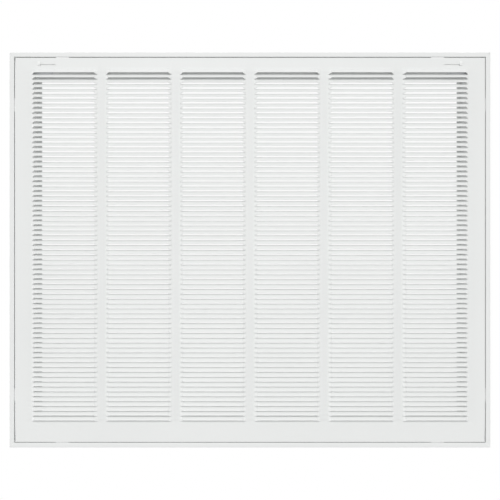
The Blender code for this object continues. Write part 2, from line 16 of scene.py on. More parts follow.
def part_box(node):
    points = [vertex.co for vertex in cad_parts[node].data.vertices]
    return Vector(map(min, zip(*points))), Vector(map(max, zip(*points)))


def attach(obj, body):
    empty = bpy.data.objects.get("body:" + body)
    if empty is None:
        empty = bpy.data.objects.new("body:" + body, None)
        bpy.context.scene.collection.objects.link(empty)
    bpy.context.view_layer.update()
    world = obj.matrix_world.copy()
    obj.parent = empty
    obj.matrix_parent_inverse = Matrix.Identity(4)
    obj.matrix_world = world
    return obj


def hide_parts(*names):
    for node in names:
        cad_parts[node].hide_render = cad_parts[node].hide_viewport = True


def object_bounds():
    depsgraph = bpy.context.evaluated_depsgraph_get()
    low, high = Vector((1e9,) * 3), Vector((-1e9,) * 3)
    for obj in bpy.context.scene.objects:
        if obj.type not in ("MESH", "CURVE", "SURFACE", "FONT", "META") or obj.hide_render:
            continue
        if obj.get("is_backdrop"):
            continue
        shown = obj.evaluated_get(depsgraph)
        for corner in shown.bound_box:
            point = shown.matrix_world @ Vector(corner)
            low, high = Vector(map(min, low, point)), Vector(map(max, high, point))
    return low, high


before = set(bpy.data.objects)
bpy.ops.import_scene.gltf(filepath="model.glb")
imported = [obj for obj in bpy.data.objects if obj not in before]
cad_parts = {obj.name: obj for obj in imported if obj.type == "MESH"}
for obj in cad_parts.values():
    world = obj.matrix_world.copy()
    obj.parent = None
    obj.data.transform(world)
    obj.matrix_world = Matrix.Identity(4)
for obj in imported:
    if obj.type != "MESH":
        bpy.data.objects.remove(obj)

MM = 0.001  # lengths are in metres
CAD_LOW, CAD_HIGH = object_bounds()
print("CAD box", [round(side / MM, 1) for side in CAD_HIGH - CAD_LOW], "mm")

# %% [markdown]
# ## Sizes read from the frame
# Every new surface sits where the working part is, so its size comes from that part's
# box and not from a guess. The rim's front is the plane that the face lies flush with,
# and a depth is counted back from it. Only what a box can't tell, such as the thickness
# of the sheet or the place of a fold, is a named value of its own.

# %% Read the sizes
RIM_LOW, RIM_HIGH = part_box("frame_rail_top")
FACE_LOW, FACE_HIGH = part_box("louvre_face")
FRONT_Y = RIM_LOW.y
HALF_WIDTH = CAD_HIGH.x
HALF_HEIGHT = CAD_HIGH.z
REAR_DEPTH = RIM_HIGH.y - FRONT_Y
FACE_HALF_WIDTH = FACE_HIGH.x
FACE_TOP = FACE_HIGH.z
LOUVRE_REACH = FRONT_Y - FACE_LOW.y
SIDE_FLANGE = FACE_HIGH.y - FRONT_Y
print("rim front at y", round(FRONT_Y / MM, 2), "mm")
print("louvres reach", round(LOUVRE_REACH / MM, 2), "mm forward")

# %% [markdown]
# ## The camera
# The picture is taken square on, so that every edge of the grille stays parallel to the
# picture's own. The louvres tell where the lens was: the white between them is widest in
# the top rows and closes towards the bottom, because they are seen from above their
# middle. The camera stands a little above the middle and to its left, and its shift
# brings the grille back to the centre of the frame, as a view camera's sliding front does.

# %% Place the camera
SENSOR = 36.0
CAMERA_DISTANCE = 1.088
CAMERA_SIDE = -0.03
CAMERA_HEIGHT = 0.1045
PICTURE_WIDTH = 0.8677

camera_data = bpy.data.cameras.new("square_on")
camera_data.sensor_width = SENSOR
camera_data.lens = SENSOR * CAMERA_DISTANCE / PICTURE_WIDTH
camera_data.shift_x = -CAMERA_SIDE / PICTURE_WIDTH
camera_data.shift_y = -CAMERA_HEIGHT / PICTURE_WIDTH
camera = bpy.data.objects.new("square_on", camera_data)
bpy.context.scene.collection.objects.link(camera)
camera.location = (CAMERA_SIDE, FRONT_Y - CAMERA_DISTANCE, CAMERA_HEIGHT)
camera.rotation_euler = (math.radians(90), 0, 0)
bpy.context.scene.camera = camera
print("lens", round(camera_data.lens, 1), "mm, shift", round(camera_data.shift_y, 3))

# %% [markdown]
# ## White powder coat
# Powder coat is melted plastic on steel. It is satin, never quite flat, and its skin has
# a fine orange peel of shallow dimples about a millimetre across. A soft noise in the
# bump gives the peel, a second and larger one drifts the gloss, and a third, larger
# still, shades the white by less than one part in a hundred either way. All three read
# the piece's own Object coordinates, so they stay on the metal when the face swings open.

# %% Make the helpers for materials
NOISE_LOW, NOISE_HIGH = 0.3, 0.7


def add_node(tree, kind, **values):
    """Add a shader node and set its sockets, whose names have _ for a space."""
    node = tree.nodes.new(kind)
    for name, value in values.items():
        node.inputs[name.replace("_", " ")].default_value = value
    return node


def spread(tree, source, low, high):
    """Carry a noise's middle range to the range between low and high."""
    ranged = add_node(tree, "ShaderNodeMapRange", From_Min=NOISE_LOW, From_Max=NOISE_HIGH,
                      To_Min=low, To_Max=high)
    tree.links.new(source, ranged.inputs["Value"])
    return ranged.outputs["Result"]


print("a noise is used between", NOISE_LOW, "and", NOISE_HIGH)

# %% Build a paint
PAINT_SPECULAR = 0.3
PEEL_SCALE = 850.0
PEEL_DEPTH = 0.06 * MM
HAZE_SCALE = 38.0
HAZE_SPREAD = 0.04
DRIFT_SCALE = 5.0
DRIFT_DARKEST = 0.992
DRIFT_LIGHTEST = 1.006


def powder_coat(name, colour, gloss, peel):
    """A painted finish. Colour is linear, gloss the roughness, peel the bump's strength."""
    material = bpy.data.materials.new(name)
    material.use_nodes = True
    material.diffuse_color = (*colour, 1.0)
    tree = material.node_tree
    shader = tree.nodes["Principled BSDF"]
    shader.inputs["Specular IOR Level"].default_value = PAINT_SPECULAR
    shader.inputs["Coat Weight"].default_value = 0.0
    place = tree.nodes.new("ShaderNodeTexCoord").outputs["Object"]

    dimples = add_node(tree, "ShaderNodeTexNoise", Scale=PEEL_SCALE, Detail=1.0, Roughness=0.4)
    bump = add_node(tree, "ShaderNodeBump", Strength=peel, Distance=PEEL_DEPTH)
    tree.links.new(place, dimples.inputs["Vector"])
    tree.links.new(dimples.outputs["Fac"], bump.inputs["Height"])
    tree.links.new(bump.outputs["Normal"], shader.inputs["Normal"])

    haze = add_node(tree, "ShaderNodeTexNoise", Scale=HAZE_SCALE, Detail=3.0, Roughness=0.55)
    tree.links.new(place, haze.inputs["Vector"])
    hazed = spread(tree, haze.outputs["Fac"], gloss - HAZE_SPREAD, gloss + HAZE_SPREAD)
    tree.links.new(hazed, shader.inputs["Roughness"])

    drift = add_node(tree, "ShaderNodeTexNoise", Scale=DRIFT_SCALE, Detail=2.0, Roughness=0.5)
    tree.links.new(place, drift.inputs["Vector"])
    mix = tree.nodes.new("ShaderNodeMix")
    mix.data_type = "RGBA"
    mix.inputs["A"].default_value = (*[part * DRIFT_DARKEST for part in colour], 1.0)
    mix.inputs["B"].default_value = (*[min(1.0, part * DRIFT_LIGHTEST) for part in colour], 1.0)
    tree.links.new(spread(tree, drift.outputs["Fac"], 0.0, 1.0), mix.inputs["Factor"])
    tree.links.new(mix.outputs["Result"], shader.inputs["Base Color"])
    return material


SATIN_WHITE = powder_coat("satin_white_powder_coat", (0.800, 0.812, 0.804), 0.42, 0.35)
GLOSS_WHITE = powder_coat("bright_white_latch_paint", (0.90, 0.91, 0.90), 0.25, 0.15)
print("paints:", SATIN_WHITE.name, "and", GLOSS_WHITE.name)

# %% [markdown]
# ## Zinc plate
# The small hidden steel parts are zinc plated. Fresh zinc is a dull mirror whose faint
# crystals each turn the light a little differently, with fine scratches from tumbling in
# the plating barrel. A Voronoi pattern gives the crystals, which only nudge the tone, and
# a stretched noise the scratches, which nudge the roughness and the bump.

# %% Build the plating
CRYSTAL_SCALE = 420.0
CRYSTAL_DARK = (0.57, 0.58, 0.60, 1.0)
CRYSTAL_BRIGHT = (0.68, 0.69, 0.70, 1.0)
SCRATCH_SCALE = 700.0
SCRATCH_STRETCH = (1.0, 1.0, 9.0)
SCRATCH_STRENGTH = 0.12
SCRATCH_DEPTH = 0.03 * MM
ZINC_SMOOTHEST, ZINC_ROUGHEST = 0.28, 0.46


def zinc_plate(name):
    """A dull mirror of fine crystals with faint scratches."""
    material = bpy.data.materials.new(name)
    material.use_nodes = True
    tree = material.node_tree
    shader = tree.nodes["Principled BSDF"]
    shader.inputs["Metallic"].default_value = 1.0
    place = tree.nodes.new("ShaderNodeTexCoord").outputs["Object"]

    crystals = add_node(tree, "ShaderNodeTexVoronoi", Scale=CRYSTAL_SCALE)
    tree.links.new(place, crystals.inputs["Vector"])
    tone = tree.nodes.new("ShaderNodeMix")
    tone.data_type = "RGBA"
    tone.inputs["A"].default_value = CRYSTAL_DARK
    tone.inputs["B"].default_value = CRYSTAL_BRIGHT
    tree.links.new(crystals.outputs["Color"], tone.inputs["Factor"])
    tree.links.new(tone.outputs["Result"], shader.inputs["Base Color"])

    stretch = tree.nodes.new("ShaderNodeMapping")
    stretch.inputs["Scale"].default_value = SCRATCH_STRETCH
    scratches = add_node(tree, "ShaderNodeTexNoise", Scale=SCRATCH_SCALE, Detail=4.0, Roughness=0.6)
    tree.links.new(place, stretch.inputs["Vector"])
    tree.links.new(stretch.outputs["Vector"], scratches.inputs["Vector"])
    dulled = spread(tree, scratches.outputs["Fac"], ZINC_SMOOTHEST, ZINC_ROUGHEST)
    tree.links.new(dulled, shader.inputs["Roughness"])
    bump = add_node(tree, "ShaderNodeBump", Strength=SCRATCH_STRENGTH, Distance=SCRATCH_DEPTH)
    tree.links.new(scratches.outputs["Fac"], bump.inputs["Height"])
    tree.links.new(bump.outputs["Normal"], shader.inputs["Normal"])
    return material


ZINC = zinc_plate("zinc_plate")
print("plating:", ZINC.name)

# %% [markdown]
# ## From a bmesh to a piece
# Each new piece is worked as a bmesh, in metres and already in its place, so that its
# object can stay at the origin. It then rides on the body that carries it and stands in
# for the plain working part. Round forms are shaded smooth, and every corner sharper
# than 35 degrees stays a crisp edge. Sheet metal is mostly large flats beside small
# folds, so the smoothing is weighted by area, which keeps every flat truly flat.

# %% Make the helpers for pieces
SHARP_FROM = math.radians(35)
SAME_PLACE = 0.001 * MM


def make_piece(name, shape, material, body, node):
    """A finished piece that rides on a body and stands in for a working part."""
    mesh = bpy.data.meshes.new(name)
    shape.to_mesh(mesh)
    shape.free()
    mesh.materials.append(material)
    mesh.shade_smooth()
    mesh.set_sharp_from_angle(angle=SHARP_FROM)
    piece = bpy.data.objects.new(name, mesh)
    bpy.context.scene.collection.objects.link(piece)
    weighted = piece.modifiers.new("flat_stays_flat", "WEIGHTED_NORMAL")
    weighted.mode = "FACE_AREA"
    weighted.keep_sharp = True
    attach(piece, body)
    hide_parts(node)
    return piece


def joined_verts(result):
    """The vertices that an extrude has made."""
    return [item for item in result["geom"] if isinstance(item, bmesh.types.BMVert)]


def boolean(work, tool, operation):
    """Cut or join two closed bmeshes exactly. Both are used up."""
    holders = []
    for part in (work, tool):
        mesh = bpy.data.meshes.new("workpiece")
        part.to_mesh(mesh)
        part.free()
        holder = bpy.data.objects.new("workpiece", mesh)
        bpy.context.scene.collection.objects.link(holder)
        holders.append(holder)
    modifier = holders[0].modifiers.new("cut", "BOOLEAN")
    modifier.operation = operation
    modifier.solver = "EXACT"
    modifier.object = holders[1]
    bpy.context.view_layer.update()
    result = bmesh.new()
    result.from_object(holders[0], bpy.context.evaluated_depsgraph_get())
    for holder in holders:
        bpy.data.meshes.remove(holder.data)
    return result


print("points within", SAME_PLACE / MM, "mm count as one")

# %% [markdown]
# ## Folding sheet metal
# Nearly every piece here is folded sheet. A press brake starts from the line that the
# section follows, so this does too: the show side's line is drawn in a few points,
# extruded to a strip, each fold is rounded with a bevel, and the strip gets its
# thickness behind the show side. A fold that closes on the back has the sheet's
# thickness added to its radius, as real metal does, so both skins stay concentric.

# %% Fold a strip
FOLD_STEPS = 5


def fold_strip(line, along, gauge, inner_radius):
    """A folded strip from the points of its show side, drawn out along a vector.

    The show side looks along the line's direction crossed with the drawing direction,
    and the thickness goes behind it.
    """
    along = Vector(along)
    shape = bmesh.new()
    verts = [shape.verts.new(point) for point in line]
    edges = [shape.edges.new(pair) for pair in zip(verts, verts[1:])]
    drawn = bmesh.ops.extrude_edge_only(shape, edges=edges)
    bmesh.ops.translate(shape, verts=joined_verts(drawn), vec=along)

    points = [Vector(point) for point in line]
    folds = []
    for before, fold, after, vert in zip(points, points[1:], points[2:], verts[1:]):
        into = (fold - before).normalized()
        out = (after - fold).normalized()
        closes_back = into.cross(out).dot(along) > 0
        radius = inner_radius + (gauge if closes_back else 0.0)
        edge = next(edge for edge in vert.link_edges
                    if (edge.other_vert(vert).co - vert.co - along).length < SAME_PLACE)
        folds.append((edge, radius * math.tan(into.angle(out) / 2)))
    for edge, offset in folds:
        bmesh.ops.bevel(shape, geom=[edge], offset=offset, affect="EDGES",
                        segments=FOLD_STEPS, profile=0.5, material=-1)

    middle = (points[0] + points[1] + along) / 2
    first = min(shape.faces, key=lambda face: (face.calc_center_median() - middle).length)
    first.normal_update()
    if first.normal.dot((points[1] - points[0]).cross(along)) < 0:
        bmesh.ops.reverse_faces(shape, faces=shape.faces[:])
    bmesh.ops.solidify(shape, geom=shape.faces[:], thickness=gauge)
    return shape


print("each fold is rounded in", FOLD_STEPS, "steps")

# %% [markdown]
# ## The frame's four rails
# A rail starts at the wall, runs forward as the rim's outer side, over the rim, back to
# the flange that the screws clamp, and back again as the collar that holds the filter,
# with a small lip at the end. One strip is folded long, then both ends are sawn at 45
# degrees by a bisecting plane, and the two cuts are closed. A hair of a seam stays open
# at each mitre, as it does on the painted frame.

# %% Size the rails
FRAME_GAUGE = 0.8 * MM
FRAME_INNER_RADIUS = 0.5 * MM
RIM_WIDTH = 8.1 * MM
RECESS_DEPTH = 5.2 * MM
COLLAR_INSET = 39.3 * MM
LIP_WIDTH = 6.7 * MM
MITRE_SEAM = 0.3 * MM
SAW_SNAP = 0.0001 * MM
RAIL_LINE = [
    (0.0, RECESS_DEPTH + FRAME_GAUGE),
    (0.0, 0.0),
    (RIM_WIDTH, 0.0),
    (RIM_WIDTH, RECESS_DEPTH),
    (COLLAR_INSET, RECESS_DEPTH),
    (COLLAR_INSET, REAR_DEPTH - FRAME_GAUGE),
    (COLLAR_INSET + LIP_WIDTH, REAR_DEPTH - FRAME_GAUGE),
]


def saw_mitre(shape, half_length, end):
    """Saw one end at 45 degrees, on a plane half a seam short of the corner."""
    waste = Vector((end, 0, -1))
    corner = Vector((end * (half_length - MITRE_SEAM / math.sqrt(2)), 0, 0))
    everything = shape.verts[:] + shape.edges[:] + shape.faces[:]
    bmesh.ops.bisect_plane(shape, geom=everything, plane_co=corner, plane_no=waste,
                           dist=SAW_SNAP, clear_outer=True)
    bmesh.ops.holes_fill(shape, edges=shape.edges[:], sides=0)


def folded_rail(half_length, distance):
    """A mitred rail with its outer edge up, a distance above the middle."""
    line = [(-half_length, depth, -inset) for inset, depth in RAIL_LINE]
    shape = fold_strip(line, (2 * half_length, 0, 0), FRAME_GAUGE, FRAME_INNER_RADIUS)
    for end in (-1, 1):
        saw_mitre(shape, half_length, end)
    bmesh.ops.translate(shape, verts=shape.verts[:], vec=(0, FRONT_Y, distance))
    return shape


print("rail line:", len(RAIL_LINE) - 1, "flats and", len(RAIL_LINE) - 2, "folds")

# %% [markdown]
# ## Turned shapes
# Rivets, studs, hinge pins and drilled holes are round. Each is a profile of radius and
# reach that is spun once round its axis. The spin merges its last step with its first,
# and the points on the axis are merged afterwards.

# %% Turn a profile
TURN_STEPS = 32


def add_turned(shape, profile, place, axis):
    """Spin points of (radius, reach) once round an axis through a place."""
    place, axis = Vector(place), Vector(axis)
    across = axis.orthogonal().normalized()
    verts = [shape.verts.new(place + across * radius + axis * reach)
             for radius, reach in profile]
    edges = [shape.edges.new(pair) for pair in zip(verts, verts[1:])]
    bmesh.ops.spin(shape, geom=verts + edges, cent=place, axis=axis, angle=2 * math.pi,
                   steps=TURN_STEPS, use_merge=True)
    bmesh.ops.remove_doubles(shape, verts=shape.verts[:], dist=SAME_PLACE)
    bmesh.ops.recalc_face_normals(shape, faces=shape.faces[:])


def add_drill(shape, place, axis, radius, half_depth):
    """A plain round cutter, as deep before its place as behind it."""
    profile = [(0, -half_depth), (radius, -half_depth), (radius, half_depth), (0, half_depth)]
    add_turned(shape, profile, place, axis)


print("round shapes have", TURN_STEPS, "steps")

# %% [markdown]
# ## Holes in the rails
# A screw slot is a drill whose two halves are pulled apart. It is punched from the
# flange's back and bites into the rim's inner wall, so white background shows through
# the dark line round the face there, in eight places. The rivets' holes widen towards
# the back, where the tails are sunk. The side rails also get the hole in which a hinge
# pin turns. All the holes of a rail are cut by one Boolean with the exact solver,
# because it keeps thin sheet clean.

# %% Size the holes
CLEARANCE = 0.3 * MM
HALF_CUT = 2.0 * MM
SCREW_SLOT_RADIUS = 3.3 * MM
SCREW_SLOT_PULL = 17.4 * MM
SCREW_SLOT_FROM_CORNER = 90.5 * MM
SCREW_SLOT_INSET = 10.0 * MM
SCREW_SLOT_DEPTHS = (2.7 * MM, 7.0 * MM)
RIVET_RADIUS = 1.5 * MM
RIVET_TAIL_RADIUS = 2.2 * MM
PIN_LOW, PIN_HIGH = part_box("hinge_pin_right")
PIN_AXIS = (PIN_LOW + PIN_HIGH) / 2
PIN_RADIUS = 1.0 * MM
print("a screw slot is", round((SCREW_SLOT_PULL + 2 * SCREW_SLOT_RADIUS) / MM, 1), "mm long")


# %% Make the cutters
def middle_of(node):
    """The middle of a working part's box."""
    low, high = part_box(node)
    return (low + high) / 2


def add_obround(shape, centre, radius, pull, half_depth):
    """A drill along Y whose two halves are pulled apart along X."""
    slot = bmesh.new()
    add_drill(slot, centre, (0, 1, 0), radius, half_depth)
    for vert in slot.verts:
        vert.co.x += math.copysign(pull / 2, vert.co.x - centre[0])
    mesh = bpy.data.meshes.new("slot")
    slot.to_mesh(mesh)
    slot.free()
    shape.from_mesh(mesh)
    bpy.data.meshes.remove(mesh)


def add_rivet_hole(shape, place):
    """A hole through plate and flange that widens in the flange for the tail."""
    shank = RIVET_RADIUS + CLEARANCE
    slope = (RIVET_TAIL_RADIUS - RIVET_RADIUS) / (FRAME_GAUGE - CLEARANCE / 2)
    start, end = RECESS_DEPTH - HALF_CUT, RECESS_DEPTH + HALF_CUT
    profile = [(0, start), (shank, start), (shank, RECESS_DEPTH),
               (shank + slope * HALF_CUT, end), (0, end)]
    add_turned(shape, profile, (place.x, FRONT_Y, place.z), (0, 1, 0))


CORNERS = {f"{level}_{hand}": (side, up) for level, up in (("top", 1), ("bottom", -1))
           for hand, side in (("left", -1), ("right", 1))}
RIVETS = {corner: [middle_of(f"corner_rivet_{corner}_{number}") for number in (1, 2, 3, 4)]
          for corner in CORNERS}
print(len(CORNERS), "corners with", sum(map(len, RIVETS.values())), "rivets")

# %% Build the rails
RAILS = (("top", 0.0, HALF_WIDTH, HALF_HEIGHT),
         ("bottom", math.pi, HALF_WIDTH, HALF_HEIGHT),
         ("left", -math.pi / 2, HALF_HEIGHT, HALF_WIDTH),
         ("right", math.pi / 2, HALF_HEIGHT, HALF_WIDTH))
slot_y = FRONT_Y + sum(SCREW_SLOT_DEPTHS) / 2
half_slot_depth = (SCREW_SLOT_DEPTHS[1] - SCREW_SLOT_DEPTHS[0]) / 2

for name, turn, half_length, distance in RAILS:
    shape = folded_rail(half_length, distance)
    holes = bmesh.new()
    for end in (-1, 1):
        along = end * (half_length - SCREW_SLOT_FROM_CORNER)
        middle = (along, slot_y, distance - SCREW_SLOT_INSET)
        add_obround(holes, middle, SCREW_SLOT_RADIUS, SCREW_SLOT_PULL, half_slot_depth)
    turning = Matrix.Rotation(turn, 4, "Y")
    for made in (shape, holes):
        bmesh.ops.transform(made, matrix=turning, verts=made.verts[:])
    outward = turning.to_3x3() @ Vector((0, 0, 1))
    for places in RIVETS.values():
        for place in places:
            if distance - place.dot(outward) < COLLAR_INSET:
                add_rivet_hole(holes, place)
    if abs(outward.x) > 0.5:
        wall = math.copysign(HALF_WIDTH - RIM_WIDTH + FRAME_GAUGE / 2, outward.x)
        add_drill(holes, (wall, PIN_AXIS.y, PIN_AXIS.z), (1, 0, 0),
                  PIN_RADIUS + CLEARANCE, HALF_CUT)
    rail = boolean(shape, holes, "DIFFERENCE")
    painted = make_piece("painted_rail_" + name, rail, SATIN_WHITE,
                         "frame", "frame_rail_" + name)
    print(painted.name, len(painted.data.polygons), "faces")

# %% [markdown]
# ## The louvred face
# All 432 louvres are pushed out of one sheet: each is a strip between two level cuts,
# left joined at both ends. The sheet starts as a grid whose lines fall where the cuts and
# ends go. The cuts are opened with split edges, and every strip then turns forward about
# its own top edge. The punch rolls it a little as it goes, so a blade leaves the sheet
# steeply and ends flatter at its lip. The turn comes in evenly over a short ramp at each
# end, as the sloping ends of a real punch leave it.

# %% Space the rows and columns
FACE_GAUGE = 0.6 * MM
COLUMNS = 6
MULLION_WIDTH = 13.4 * MM
SIDE_MARGIN = 29.3 * MM
TOP_MARGIN = 20.6 * MM
PITCH = 8.467 * MM
LEAST_BOTTOM_MARGIN = 36.0 * MM
RAMP = 6.0 * MM
RAMP_STEPS = 5
BLADE_SPANS = 4
BLADE_BEND = math.radians(34)
BLADE_SLOPE = math.asin(LOUVRE_REACH / PITCH * (BLADE_BEND / 2) / math.sin(BLADE_BEND / 2))
FACE_BOTTOM = FACE_LOW.z
ROWS = int((FACE_TOP - FACE_BOTTOM - TOP_MARGIN - LEAST_BOTTOM_MARGIN) / PITCH)
FLANGE_RELIEF = 2.2 * MM
COLUMN_WIDTH = (2 * FACE_HALF_WIDTH - 2 * SIDE_MARGIN - (COLUMNS - 1) * MULLION_WIDTH) / COLUMNS
print(ROWS, "rows of", COLUMNS, "louvres, each", round(COLUMN_WIDTH / MM, 1), "mm long")
print("a blade is", round(math.degrees(BLADE_SLOPE), 1), "degrees open on average")


# %% Draw the face's grid
def lines_across():
    """Where the grid's upright lines go, and how far each one's louvres are turned."""
    lines = [(-FACE_HALF_WIDTH, 0.0), (FLANGE_RELIEF - FACE_HALF_WIDTH, 0.0)]
    start = SIDE_MARGIN - FACE_HALF_WIDTH
    for column in range(COLUMNS):
        end = start + COLUMN_WIDTH
        steps = [(RAMP * step / RAMP_STEPS, step / RAMP_STEPS)
                 for step in range(RAMP_STEPS + 1)]
        lines += [(start + reach, turned) for reach, turned in steps]
        lines += [(end - reach, turned) for reach, turned in reversed(steps)]
        start = end + MULLION_WIDTH
    return lines + [(FACE_HALF_WIDTH - FLANGE_RELIEF, 0.0), (FACE_HALF_WIDTH, 0.0)]


ACROSS = lines_across()
FIELD_TOP = FACE_TOP - TOP_MARGIN
FIELD_LINES = [FIELD_TOP - step * PITCH / BLADE_SPANS for step in range(ROWS * BLADE_SPANS + 1)]
DOWN = [FACE_TOP] + FIELD_LINES + [FACE_BOTTOM]

sheet = bmesh.new()
across_faces, down_faces = len(ACROSS) - 1, len(DOWN) - 1
bmesh.ops.create_grid(sheet, x_segments=across_faces, y_segments=down_faces, size=1.0)
grid_place = {}
for vert in sheet.verts:
    column = round((vert.co.x + 1) / 2 * across_faces)
    line = round((1 - vert.co.y) / 2 * down_faces)
    grid_place[vert] = (column, line)
    vert.co = (ACROSS[column][0], FRONT_Y, DOWN[line])
print("grid of", across_faces, "by", down_faces, "faces")


# %% Lance the louvres
def is_cut(edge):
    """Edges along a row's lower border, between the two ends of a column."""
    (first, line), (second, other_line) = (grid_place[vert] for vert in edge.verts)
    if line != other_line or (line - 1) % BLADE_SPANS or not 1 < line < down_faces:
        return False
    return ACROSS[first][1] > 0 or ACROSS[second][1] > 0


def blade_point(hang, turned):
    """Where a point this far below a blade's top goes, as reaches forward and down."""
    root = turned * (BLADE_SLOPE + BLADE_BEND / 2)
    here = root - turned * BLADE_BEND * hang / PITCH
    radius = PITCH / (turned * BLADE_BEND)
    forward = radius * (math.cos(here) - math.cos(root))
    down = radius * (math.sin(root) - math.sin(here))
    return forward, down


cuts = [edge for edge in sheet.edges if is_cut(edge)]
row_of = {}
for face in sheet.faces:
    middle = face.calc_center_median()
    row = int((FIELD_TOP - middle.z) / PITCH)
    if middle.z < FIELD_TOP and row < ROWS:
        row_of[face] = row
bmesh.ops.split_edges(sheet, edges=cuts)
for face, row in row_of.items():
    row_top = FIELD_TOP - row * PITCH
    for vert in face.verts:
        if vert.tag or vert.co.z > row_top - SAME_PLACE:
            continue
        column = min(range(len(ACROSS)), key=lambda index: abs(ACROSS[index][0] - vert.co.x))
        turned = ACROSS[column][1]
        if turned > 0:
            forward, down = blade_point(row_top - vert.co.z, turned)
            vert.co.y = FRONT_Y - forward
            vert.co.z = row_top - down
        vert.tag = True
print(len(cuts), "edges cut,", len(sheet.faces), "faces in the sheet")

# %% [markdown]
# ## Folding the face's edge
# The face is a shallow pan. Its four borders are extruded back as flanges and the folds
# are rounded by a bevel. The side flanges are deepest, because they carry the hinge pins
# in their rounded lower ends. The top and bottom ones stop short of the corners, so
# that the press can fold them. Then the whole sheet gets its thickness at once, and the
# two finger slots and the holes for the hinge pins are cut.

# %% Fold the face's edge
TOP_FLANGE = 4.2 * MM
BOTTOM_FLANGE = 3.5 * MM
PIN_EAR_RADIUS = 2.0 * MM
PIN_EAR_STEPS = 6
FACE_OUTER_RADIUS = 1.3 * MM
FACE_FOLD_STEPS = 4


def on_border(edge, axis, value, limit):
    """Edges on one of the sheet's four borders, up to a limit along it."""
    return edge.is_boundary and all(
        abs(vert.co[axis] - value) < SAME_PLACE and abs(vert.co[2 - axis]) < limit + SAME_PLACE
        for vert in edge.verts)


folds = []
for axis, value, limit, depth in (
        (2, FACE_TOP, FACE_HALF_WIDTH - FLANGE_RELIEF, TOP_FLANGE),
        (2, FACE_BOTTOM, FACE_HALF_WIDTH - FLANGE_RELIEF, BOTTOM_FLANGE),
        (0, -FACE_HALF_WIDTH, FACE_TOP, SIDE_FLANGE),
        (0, FACE_HALF_WIDTH, FACE_TOP, SIDE_FLANGE)):
    border = [edge for edge in sheet.edges if on_border(edge, axis, value, limit)]
    folded = bmesh.ops.extrude_edge_only(sheet, edges=border)
    rear = joined_verts(folded)
    bmesh.ops.translate(sheet, verts=rear, vec=(0, depth, 0))
    folds += border
    if axis == 0:
        lowest = min(rear, key=lambda vert: vert.co.z)
        bmesh.ops.bevel(sheet, geom=[lowest], offset=PIN_EAR_RADIUS, affect="VERTICES",
                        segments=PIN_EAR_STEPS, profile=0.5, material=-1)
bmesh.ops.bevel(sheet, geom=folds, offset=FACE_OUTER_RADIUS, affect="EDGES",
                segments=FACE_FOLD_STEPS, profile=0.5, material=-1)
if sum(face.normal.y for face in sheet.faces) > 0:
    bmesh.ops.reverse_faces(sheet, faces=sheet.faces[:])
print(len(folds), "edges folded back")

# %% Thicken and pierce the face
OUTER_STUD_FROM_TAB = 11.0 * MM
FINGER_SLOT_LENGTH = 31.2 * MM
FINGER_SLOT_RADIUS = 1.3 * MM
FINGER_SLOT_PAST_TAB = 2.6 * MM
bmesh.ops.solidify(sheet, geom=sheet.faces[:], thickness=FACE_GAUGE)
holes = bmesh.new()
for side, hand in ((-1, "left"), (1, "right")):
    studs = [middle_of(f"latch_stud_{which}_{hand}") for which in ("outer", "inner")]
    tab_x = studs[0].x - side * OUTER_STUD_FROM_TAB
    slot_x = tab_x + side * (FINGER_SLOT_PAST_TAB - FINGER_SLOT_LENGTH / 2)
    add_obround(holes, (slot_x, FRONT_Y, studs[0].z), FINGER_SLOT_RADIUS,
                FINGER_SLOT_LENGTH - 2 * FINGER_SLOT_RADIUS, HALF_CUT)
    flange_x = side * (FACE_HALF_WIDTH - FACE_GAUGE / 2)
    add_drill(holes, (flange_x, PIN_AXIS.y, PIN_AXIS.z), (1, 0, 0),
              PIN_RADIUS + CLEARANCE, FACE_GAUGE)
sheet = boolean(sheet, holes, "DIFFERENCE")
print("face sheet:", len(sheet.faces), "faces")
make_piece("louvred_face_sheet", sheet, SATIN_WHITE, "face", "louvre_face")

# %% [markdown]
# ## Rivets, studs and hinge pins
# Sixteen low rivets hold the corner plates. Two headed studs carry each latch slide, and
# a shouldered pin at each bottom corner is the face's hinge.

# %% Rivet the corners
RIVET_HEAD_RADIUS = 2.8 * MM
RIVET_HEAD_HEIGHT = 0.6 * MM
DOME_STEPS = 6


def dome(radius, height, foot):
    """Profile points of a low domed head, from its crown on the axis to its edge."""
    angles = [step / DOME_STEPS * math.pi / 2 for step in range(DOME_STEPS + 1)]
    return [(radius * math.sin(angle), foot - height * math.cos(angle)) for angle in angles]


for corner, places in RIVETS.items():
    for number, place in enumerate(places, start=1):
        node = f"corner_rivet_{corner}_{number}"
        low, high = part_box(node)
        front = (place.x, FRONT_Y, place.z)
        under_head = low.y + RIVET_HEAD_HEIGHT - FRONT_Y
        profile = dome(RIVET_HEAD_RADIUS, RIVET_HEAD_HEIGHT, under_head)
        profile += [(RIVET_RADIUS, under_head), (RIVET_RADIUS, RECESS_DEPTH),
                    (RIVET_TAIL_RADIUS, high.y - FRONT_Y), (0, high.y - FRONT_Y)]
        rivet = bmesh.new()
        add_turned(rivet, profile, front, (0, 1, 0))
        make_piece("domed_" + node, rivet, ZINC, "frame", node)
print(sum(map(len, RIVETS.values())), "rivets")

# %% Turn the studs
STUD_RADIUS = 1.5 * MM
STUD_HEAD_HEIGHT = 0.6 * MM
for name in ("outer_left", "outer_right", "inner_left", "inner_right"):
    low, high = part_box("latch_stud_" + name)
    middle = (low + high) / 2
    head_radius = (high.x - low.x) / 2
    head = high.y - STUD_HEAD_HEIGHT
    profile = [(0, low.y), (STUD_RADIUS, low.y), (STUD_RADIUS, head)]
    profile += [(radius, 2 * head - reach) for radius, reach
                in reversed(dome(head_radius, STUD_HEAD_HEIGHT, head))]
    stud = bmesh.new()
    add_turned(stud, profile, (middle.x, 0, middle.z), (0, 1, 0))
    make_piece("turned_stud_" + name, stud, ZINC, "face", "latch_stud_" + name)
print("4 studs with heads of", round(head_radius / MM, 1), "mm radius")

